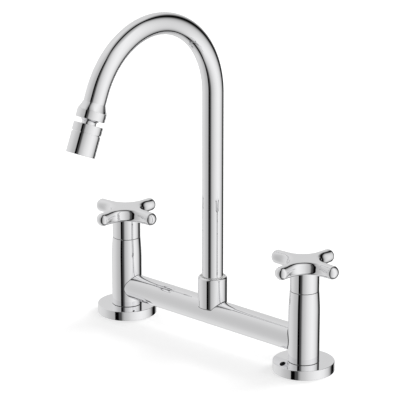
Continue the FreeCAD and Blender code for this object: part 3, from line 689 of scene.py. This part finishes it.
class FAUCET_OT_outlet(PieceOperator):
    """Makes the ferrule, the ball joint's collar, the ball, and the aerator's cap and shell"""
    bl_idname = "faucet.outlet"
    bl_label = "Outlet"

    def execute(self, context):
        sizes = context.scene.faucet_spout
        centre, axis = joint("outlet_spin")
        place = Matrix.Translation(centre) @ Z.rotation_difference(axis).to_matrix().to_4x4()
        collar_end = sizes.ball_drop
        collar_start = collar_end - sizes.collar_length
        ferrule_start = collar_start - sizes.ferrule_length
        tube_end = ferrule_start + sizes.ferrule_socket
        cap_start = collar_end + sizes.neck_gap
        cap_inside = cap_start + sizes.cap_roof
        shell_start = cap_start + sizes.cap_length
        shell_end = shell_start + sizes.shell_length
        lip_start = shell_end - sizes.shell_wall
        collar, collar_top = sizes.collar_radius, collar_start + sizes.collar_gap
        inside = collar - sizes.collar_wall
        tube, lip = sizes.tube_radius + FIT, sizes.tube_radius + sizes.ferrule_lip
        via = (lip + (collar - lip) * sizes.ferrule_sag, (ferrule_start + collar_start) / 2)
        flare = arc((lip, ferrule_start), via, (collar - SETBACK / 2, collar_start), 16)
        mouth, *seat_points = [(sqrt((sizes.ball_radius + sizes.seat_gap) ** 2 - z ** 2), z) for z in (
            collar_end, (collar_end + sizes.seat_top) / 2, sizes.seat_top)]
        seat = arc(mouth, *seat_points, 12)
        bore, flat = sizes.ball_bore, -sizes.ball_flat
        flat_radius = sqrt(sizes.ball_radius ** 2 - flat ** 2)
        neck_start = sqrt(sizes.ball_radius ** 2 - sizes.neck_radius ** 2)
        ball = arc((flat_radius, flat), (sizes.ball_radius, 0), (sizes.neck_radius, neck_start), 32)
        neck_end = cap_inside + sizes.neck_thread
        neck = sizes.neck_radius + FIT
        aerator = sizes.aerator_radius
        cap, groove = aerator + sizes.cap_proud, aerator - sizes.seam_depth
        hollow = aerator - sizes.shell_wall
        mesh_hole = hollow - sizes.shell_wall
        above, below = shell_start - sizes.seam / 2, shell_start + sizes.seam / 2
        edge, fine = sizes.edge_round, sizes.seam_edge
        pieces = {
            "spout_ferrule": ("spout", [
                (tube, ferrule_start), (lip, ferrule_start), *flare, (inside - SETBACK, collar_start),
                (inside - SETBACK, sizes.ferrule_thread), (sizes.chamber, sizes.ferrule_thread),
                (sizes.chamber, tube_end), (tube, tube_end)], []),
            "joint_collar": ("spout", [
                (inside, collar_top), (collar, collar_top), (collar, collar_end), mouth, *seat,
                (inside, sizes.seat_top)], [(2, edge), (1, fine)]),
            "swivel_ball": ("outlet", [
                (bore, flat), (flat_radius, flat), *ball, (sizes.neck_radius, neck_end), (bore, neck_end)], []),
            "aerator_cap": ("outlet", [
                (neck, cap_start), (cap, cap_start), (cap, above), (hollow, above), (hollow, cap_inside),
                (neck, cap_inside)], [(1, edge), (2, fine)]),
            "aerator_seam": ("outlet", [(hollow, above), (groove, above), (groove, below), (hollow, below)], []),
            "aerator_shell": ("outlet", [
                (hollow, below), (aerator, below), (aerator, shell_end), (mesh_hole, shell_end),
                (mesh_hole, lip_start), (hollow, lip_start)], [(2, edge), (1, fine)])}
        for node, (body, profile, rounds) in pieces.items():
            polish(turned(profile, rounds, place), node, body)
        return {"FINISHED"}


class FAUCET_OT_handles(PieceOperator):
    """Makes the two cross handles, each with its cup"""
    bl_idname = "faucet.handles"
    bl_label = "Handles"

    def execute(self, context):
        sizes = context.scene.faucet_handles
        for side, sign in SIDES.items():
            node = side + "_handle"
            bottom = low(node).z
            height = bottom + sizes.lift
            star = self.star(sizes)
            bmesh.ops.translate(star, vec=(0, 0, height), verts=star.verts)
            skirt, cup, bore = sizes.skirt_radius, sizes.cup_radius, sizes.bore_radius
            wall = turned([(0, bottom), (skirt, bottom), (skirt, height), (0, height)], [(1, sizes.edge)], steps=160)
            body = cut_out(star, [wall], "UNION")
            roof, end = bottom + sizes.cup_height, height - sizes.stem_drop
            below = bottom - OVERRUN
            hollow = turned([(0, below), (cup, below), (cup, roof), (bore, roof), (bore, end), (0, end)], steps=96)
            point = Vector((0, 0, middle(side + "_handle_screw").z))
            body = drilled(body, [screw_hole(point, Y, bore, skirt)], [hollow])
            place = Matrix.Translation((sign * middle("right_flange").x, 0, 0))
            move(body, place)
            # The wall of the screw hole is painted black as shade inside the hole.
            polish(body, node, side + "_tap", "blackened")
            # Black ring between the column's top and the skirt: painted shade in that gap.
            outer, start, end = cup + sizes.slide_width, high(side + "_column").z, bottom - FIT
            ring = turned([(cup, start), (outer, start), (outer, end), (cup, end)], place=place)
            finish_piece(ring, side + "_slide_ring", "base", "rubber")
        return {"FINISHED"}

    def star(self, sizes):
        """Four arms and the hub's hollow sides, closed above and below by flat faces."""
        at = (sizes.skirt_radius + sizes.hub_proud - sizes.waist) / (sqrt(2) - 1)
        mesh = bmesh.new()
        side = self.section(sizes, 0.0)
        flat = self.steps[0]
        wall = [mesh.verts.new((at, y, z)) for y, z in side[flat:len(side) // 2 - flat + 1]]
        chain = [mesh.edges.new(pair) for pair in zip(wall, wall[1:])]
        bmesh.ops.spin(mesh, geom=wall + chain, cent=(at, at, 0), axis=Z, angle=-pi / 2, steps=24)
        self.arm(mesh, sizes, at)
        bmesh.ops.spin(mesh, geom=list(mesh.verts) + list(mesh.edges) + list(mesh.faces), cent=(0, 0, 0), axis=Z,
                       angle=1.5 * pi, steps=3, use_duplicate=True)
        bmesh.ops.remove_doubles(mesh, verts=mesh.verts, dist=1e-6)
        rim = [edge for edge in mesh.edges if edge.is_boundary]
        bmesh.ops.holes_fill(mesh, edges=rim, sides=0)
        bmesh.ops.recalc_face_normals(mesh, faces=mesh.faces)
        return mesh

    steps = (3, 10, 4)  # along the flat, the round and the wall of a quarter of an arm's section

    def section(self, sizes, blend):
        """Points round an arm's section: flat-sided at blend 0, a full circle at 1."""
        flat, bend, wall = self.steps
        half, size, waist, end = sizes.hub_half, sizes.hub_round, sizes.waist, sizes.end_radius
        first, last = radians(22.5), radians(67.5)  # where the round's ends go on the circle
        quarter = [((waist - size) * (k / flat), half, first * (k / flat)) for k in range(flat)]
        for k in range(bend):
            turn = pi / 2 * k / bend
            quarter.append((waist - size + size * sin(turn), half - size + size * cos(turn),
                            first + (last - first) * k / bend))
        quarter += [(waist, (half - size) * (1 - k / wall), last + first * (k / wall)) for k in range(wall)]
        points = [(y + (end * sin(angle) - y) * blend, z + (end * cos(angle) - z) * blend)
                  for y, z, angle in quarter]
        points.append((waist + (end - waist) * blend, 0.0))
        right = points + [(y, -z) for y, z in points[-2::-1]]
        return right + [(-y, z) for y, z in right[-2:0:-1]]

    def arm(self, mesh, sizes, at):
        """One arm along +X, from the hub to its domed end."""
        plain = sizes.reach - sizes.end_length
        count = 22
        rings = []
        for k in range(count + 1):
            along = k / count
            blend = along * along * (3 - 2 * along)
            x = at + (plain - at) * along
            rings.append(ring_of(mesh, [(x, y, z) for y, z in self.section(sizes, blend)]))
        circle = self.section(sizes, 1.0)
        for radius, x in self.dome(sizes):
            scale = radius / sizes.end_radius
            rings.append(ring_of(mesh, [(x, y * scale, z * scale) for y, z in circle]))
        skin(mesh, rings)
        tip = bmesh.ops.contextual_create(mesh, geom=rings[-1])
        bmesh.ops.poke(mesh, faces=tip["faces"])

    def dome(self, sizes):
        """Radius and place of the rings that round off an arm and close it with a shallow dome."""
        centre = sizes.reach - sizes.dome_radius
        inner = sizes.end_radius - sizes.dome_blend
        between = sizes.dome_radius - sizes.dome_blend
        bend = centre + sqrt(between ** 2 - inner ** 2)
        meet = asin(inner / between)
        bend_steps, dome_steps = 10, 14
        rings = []
        for k in range(bend_steps + 1):
            turn = pi / 2 + (meet - pi / 2) * k / bend_steps
            rings.append((inner + sizes.dome_blend * sin(turn), bend + sizes.dome_blend * cos(turn)))
        for k in range(1, dome_steps):
            turn = meet * (1 - k / dome_steps)
            rings.append((sizes.dome_radius * sin(turn), centre + sizes.dome_radius * cos(turn)))
        return rings


class FAUCET_OT_shanks(PieceOperator):
    """Makes the threaded shanks below the flanges"""
    bl_idname = "faucet.shanks"
    bl_label = "Threaded shanks"

    def execute(self, context):
        sizes = context.scene.faucet_threads
        for side in SIDES:
            node = side + "_shank"
            bottom, top = low(node).z, high(node).z
            flange_top = high(side + "_flange").z
            groove = -sizes.neck - sizes.relief
            root, crest, neck, lift = sizes.minor_radius, sizes.major_radius, -sizes.neck, sizes.shoulder_lift
            mesh = turned([
                (sizes.bore, bottom), (root, bottom), (root, neck), (crest, neck), (crest, lift),
                (sizes.shoulder, lift), (sizes.shoulder, flange_top), (sizes.upper, flange_top),
                (sizes.upper, top), (sizes.bore, top)], [(1, sizes.end_round)], steps=96)
            mesh = joined(mesh, self.thread(sizes, bottom + sizes.lead_in, groove - sizes.run_out))
            move(mesh, Matrix.Translation((middle(node).x, 0, 0)))
            finish_piece(mesh, node + "_threaded", "base", "brass", [node])
        return {"FINISHED"}

    def thread(self, sizes, bottom, top):
        """Ridge that winds up from bottom to top."""
        mesh = bmesh.new()
        pitch = sizes.pitch
        turns = int((top - bottom) / pitch)
        root, root_half = sizes.minor_radius - SETBACK, 0.46 * pitch
        crest, crest_half = sizes.major_radius - SETBACK, 0.08 * pitch
        corners = [(root, -root_half), (crest, -crest_half), (crest, crest_half), (root, root_half)]
        verts = [mesh.verts.new((r, 0, bottom + pitch / 2 + z)) for r, z in corners]
        face = mesh.faces.new(verts)
        steps = turns * sizes.segments
        made = bmesh.ops.spin(mesh, geom=list(face.edges) + verts, cent=(0, 0, 0), axis=Z,
                              dvec=(0, 0, (turns - 1) * pitch / steps), angle=2 * pi * (turns - 1), steps=steps)
        bmesh.ops.contextual_create(mesh, geom=only(bmesh.types.BMEdge, made["geom_last"]))
        bmesh.ops.recalc_face_normals(mesh, faces=mesh.faces)
        return mesh


class FAUCET_OT_finishes(PieceOperator):
    """Gives every remaining piece of the frame the finish of its material slot"""
    bl_idname = "faucet.finishes"
    bl_label = "Finishes"

    def execute(self, context):
        slots = {entry["node"]: entry["material_slot"] for entry in frame["record"]["subparts"]}
        for name, node in frame["nodes"].items():
            surface = surface_for("blackened" if name.endswith("_screw") else slots[name])
            node.data.materials.clear()
            node.data.materials.append(surface)
        return {"FINISHED"}


# ---- studio ----
CAMERA_PLACE = (1.27234, -1.40130, 0.73544)
CAMERA_TURN = (radians(72.117), 0.0, radians(42.562))
CAMERA_LENS = 213.6
LAMP_PLACE = Vector((0.15, 1.65, 0.92))
LAMP_AIM = Vector((0, 0, 0.1))
LAMP_SIZE = (1.1, 0.9)
FLOOR_REACH, SOFTBOX_DISTANCE = 8.0, 6.0
FRONT = CAMERA_TURN[2] - pi / 2
GAP_SIDE = radians(45)  # where the gap's middle lies, from straight ahead of the camera
GAP_LEAN = 0.06
OVERHEAD_FROM = (0.84, 0.94)  # heights, as a share of straight up, between which the overhead softboxes take over
# Softboxes' brightness by turn to the right of the camera, in degrees, with a dark gap at -41 and one at 132.
ROUND_ABOUT = [
    (-180, 0.82), (-135, 0.865), (-100, 0.83), (-75, 0.75), (-55, 0.70), (-49, 0.66), (-48, 0.01), (-33.5, 0.01),
    (-32.5, 0.27), (-22, 0.30), (-20, 0.50), (-14, 0.66), (-10, 0.72), (6, 0.80), (18, 0.86), (28, 0.89),
    (40, 0.92), (58, 0.945), (78, 0.915), (90, 0.86), (98, 0.82), (106, 0.74), (112, 0.65), (118, 0.42),
    (123, 0.22), (125, 0.02), (140, 0.02), (144, 0.27), (148, 0.43), (158, 0.71), (164, 0.80), (180, 0.82)]
# The same straight above and below, by distance from the middle of the gap that joins the two.
OVERHEAD = [(0.0, 0.01), (0.06, 0.02), (0.1, 0.35), (0.15, 0.6), (0.3, 0.74), (0.5, 0.82)]


class FaucetStudio(PropertyGroup):
    floor: tint("Floor", "Colour of the floor", (0.9, 0.9, 0.9))
    floor_glow: share("Floor glow", "How much of its white the floor shows by itself", 0.31)
    ambient: FloatProperty(name="Ambient", description="Strength of the light from all round", default=0.75, min=0)
    softboxes: FloatProperty(name="Softboxes", description="Strength of the softboxes that the chrome mirrors",
                             default=1.07, min=0)
    key_power: FloatProperty(name="Key light", description="Power of the large overhead light", default=18.5,
                             min=0, unit="POWER")


class FAUCET_OT_studio(PieceOperator):
    """Makes the floor, the softboxes that the chrome mirrors, the lights and the camera"""
    bl_idname = "faucet.studio"
    bl_label = "Studio"

    def execute(self, context):
        studio = context.scene.faucet_studio
        self.floor(studio)
        self.dome(studio)
        self.world(studio)
        self.light(studio)
        self.camera(context)
        self.shade_below(context)
        return {"FINISHED"}

    def shade_below(self, context):
        """Keeps what the worktop would hide out of the chrome's mirror images."""
        for piece in context.scene.objects:
            if piece.name.endswith(("_shank_threaded", "_deck_washer", "_plate_washer", "_lock_nut")):
                piece.visible_glossy = False

    def floor(self, studio):
        """Matt floor that shows some of its white by itself, and shadows on the rest."""
        mesh = bmesh.new()
        bmesh.ops.create_grid(mesh, x_segments=1, y_segments=1, size=FLOOR_REACH)
        surface, tree = blank_surface("floor")
        matt = add_node(tree, "BsdfDiffuse", {"Color": (*studio.floor, 1)})
        glow = add_node(tree, "Emission", {"Strength": seen_directly(tree, studio.floor_glow)})
        total = add_node(tree, "AddShader", {0: matt.outputs[0], 1: glow.outputs[0]})
        add_node(tree, "OutputMaterial", {"Surface": total.outputs[0]})
        self.stand(mesh, "floor", surface).visible_glossy = False

    def dome(self, studio):
        """White softboxes all round the object with two dark gaps; only mirrors see them."""
        mesh = bmesh.new()
        bmesh.ops.create_uvsphere(mesh, u_segments=64, v_segments=32, radius=SOFTBOX_DISTANCE)
        surface, tree = blank_surface("softboxes")
        place = add_node(tree, "TexCoord").outputs["Object"]
        way = add_node(tree, "VectorMath", {0: place}, operation="NORMALIZE").outputs[0]
        parts = add_node(tree, "SeparateXYZ", {0: way}).outputs
        turn = calculate(tree, "ARCTAN2", parts["Y"], parts["X"])
        turn = calculate(tree, "MULTIPLY_ADD", turn, 0.5 / pi, (pi - FRONT) / (2 * pi))
        round_about = ramp(tree, calculate(tree, "FRACT", turn),
                           [((right + 180) / 360, grey) for right, grey in ROUND_ABOUT])
        side = (cos(FRONT + GAP_SIDE), sin(FRONT + GAP_SIDE), 0)
        across = add_node(tree, "VectorMath", {0: way, 1: side}, operation="DOT_PRODUCT").outputs["Value"]
        lean = calculate(tree, "MULTIPLY_ADD", parts["Z"], GAP_LEAN, -GAP_LEAN / 2)
        overhead = ramp(tree, calculate(tree, "ABSOLUTE", calculate(tree, "ADD", across, lean)), OVERHEAD)
        steep = add_node(tree, "MapRange", {"Value": calculate(tree, "ABSOLUTE", parts["Z"]),
                                            "From Min": OVERHEAD_FROM[0], "From Max": OVERHEAD_FROM[1]})
        blend = add_node(tree, "Mix", {"Factor": steep.outputs["Result"], "A": round_about, "B": overhead},
                         data_type="RGBA")
        glow = add_node(tree, "Emission", {"Color": blend.outputs["Result"], "Strength": studio.softboxes})
        add_node(tree, "OutputMaterial", {"Surface": glow.outputs[0]})
        piece = self.stand(mesh, "softboxes", surface)
        piece.visible_camera = False
        piece.visible_diffuse = False
        piece.visible_shadow = False

    def stand(self, mesh, name, surface):
        piece = new_object(mesh, name)
        piece.data.materials.append(surface)
        return piece

    def world(self, studio):
        """Even light from all round, and plain white behind the object."""
        world = bpy.data.worlds.new("studio")
        bpy.context.scene.world = world
        world.use_nodes = True
        tree = world.node_tree
        glow = tree.nodes["Background"]
        glow.inputs["Color"].default_value = (1, 1, 1, 1)
        seen = seen_directly(tree, 1.0 - studio.ambient)
        tree.links.new(calculate(tree, "ADD", seen, studio.ambient), glow.inputs["Strength"])

    def light(self, studio):
        lamp = bpy.data.lights.new("overhead softbox", "AREA")
        lamp.shape = "RECTANGLE"
        lamp.size, lamp.size_y = LAMP_SIZE
        lamp.energy = studio.key_power
        holder = bpy.data.objects.new("overhead softbox", lamp)
        holder.location = LAMP_PLACE
        holder.rotation_euler = (LAMP_AIM - LAMP_PLACE).to_track_quat("-Z", "Y").to_euler()
        holder.visible_glossy = False
        bpy.context.scene.collection.objects.link(holder)

    def camera(self, context):
        lens = bpy.data.cameras.new("photo view")
        lens.lens = CAMERA_LENS
        lens.sensor_width = 36.0
        lens.clip_start, lens.clip_end = 0.05, 50.0
        holder = bpy.data.objects.new("photo view", lens)
        holder.location = CAMERA_PLACE
        holder.rotation_euler = CAMERA_TURN
        context.scene.collection.objects.link(holder)
        context.scene.camera = holder
        context.scene.view_settings.view_transform = "Standard"


def blank_surface(name):
    """Material without nodes, and its tree."""
    surface = bpy.data.materials.new(name)
    surface.use_nodes = True
    surface.node_tree.nodes.clear()
    return surface, surface.node_tree


def calculate(tree, operation, *values):
    """Result of a calculation on sockets or numbers."""
    return add_node(tree, "Math", dict(enumerate(values)), operation=operation).outputs[0]


def ramp(tree, value, stops):
    """Grey that follows a value; each stop is a position and the grey as it is displayed."""
    node = add_node(tree, "ValToRGB", {"Fac": value})
    elements = node.color_ramp.elements
    for number, (position, grey) in enumerate(stops):
        light = ((grey + 0.055) / 1.055) ** 2.4
        between = 0 < number < len(stops) - 1
        element = elements.new(position) if between else elements[-1 if number else 0]
        element.position = position
        element.color = (light, light, light, 1)
    return node.outputs["Color"]


def seen_directly(tree, strength):
    """Strength for rays from the camera, mirrors and glass, and 0 for the rest."""
    path = tree.nodes.new("ShaderNodeLightPath")
    value = path.outputs["Is Camera Ray"]
    for name in ("Is Glossy Ray", "Is Transmission Ray"):
        value = calculate(tree, "MAXIMUM", value, path.outputs[name])
    return calculate(tree, "MULTIPLY", value, strength)


# ---- panel and registration ----
MAKERS = (
    FAUCET_OT_flanges, FAUCET_OT_columns, FAUCET_OT_bridge, FAUCET_OT_socket, FAUCET_OT_spout, FAUCET_OT_outlet,
    FAUCET_OT_handles, FAUCET_OT_shanks, FAUCET_OT_finishes, FAUCET_OT_studio)
GROUPS = {
    "faucet_body": FaucetBodySizes, "faucet_spout": FaucetSpoutSizes, "faucet_handles": FaucetHandleSizes,
    "faucet_threads": FaucetThreadSizes, "faucet_finishes": FaucetFinishes, "faucet_studio": FaucetStudio}


class FAUCET_PT_panel(Panel):
    """Lists the faucet's pieces and sizes"""
    bl_idname = "FAUCET_PT_panel"
    bl_label = "Bridge Faucet"
    bl_space_type = "VIEW_3D"
    bl_region_type = "UI"
    bl_category = "Faucet"

    def draw(self, context):
        for maker in MAKERS:
            self.layout.operator(maker.bl_idname)
        for name, group in GROUPS.items():
            box = self.layout.box()
            box.label(text=name.replace("_", " ").capitalize())
            for prop in group.__annotations__:
                box.prop(getattr(context.scene, name), prop)


CLASSES = (*GROUPS.values(), *MAKERS, FAUCET_PT_panel)


def register():
    for cls in CLASSES:
        bpy.utils.register_class(cls)
    for name, group in GROUPS.items():
        setattr(bpy.types.Scene, name, PointerProperty(type=group))


def unregister():
    for name in GROUPS:
        delattr(bpy.types.Scene, name)
    for cls in reversed(CLASSES):
        bpy.utils.unregister_class(cls)


def main():
    register()
    for maker in MAKERS:
        group, name = maker.bl_idname.split(".")
        getattr(getattr(bpy.ops, group), name)()


if __name__ == "__main__":
    main()
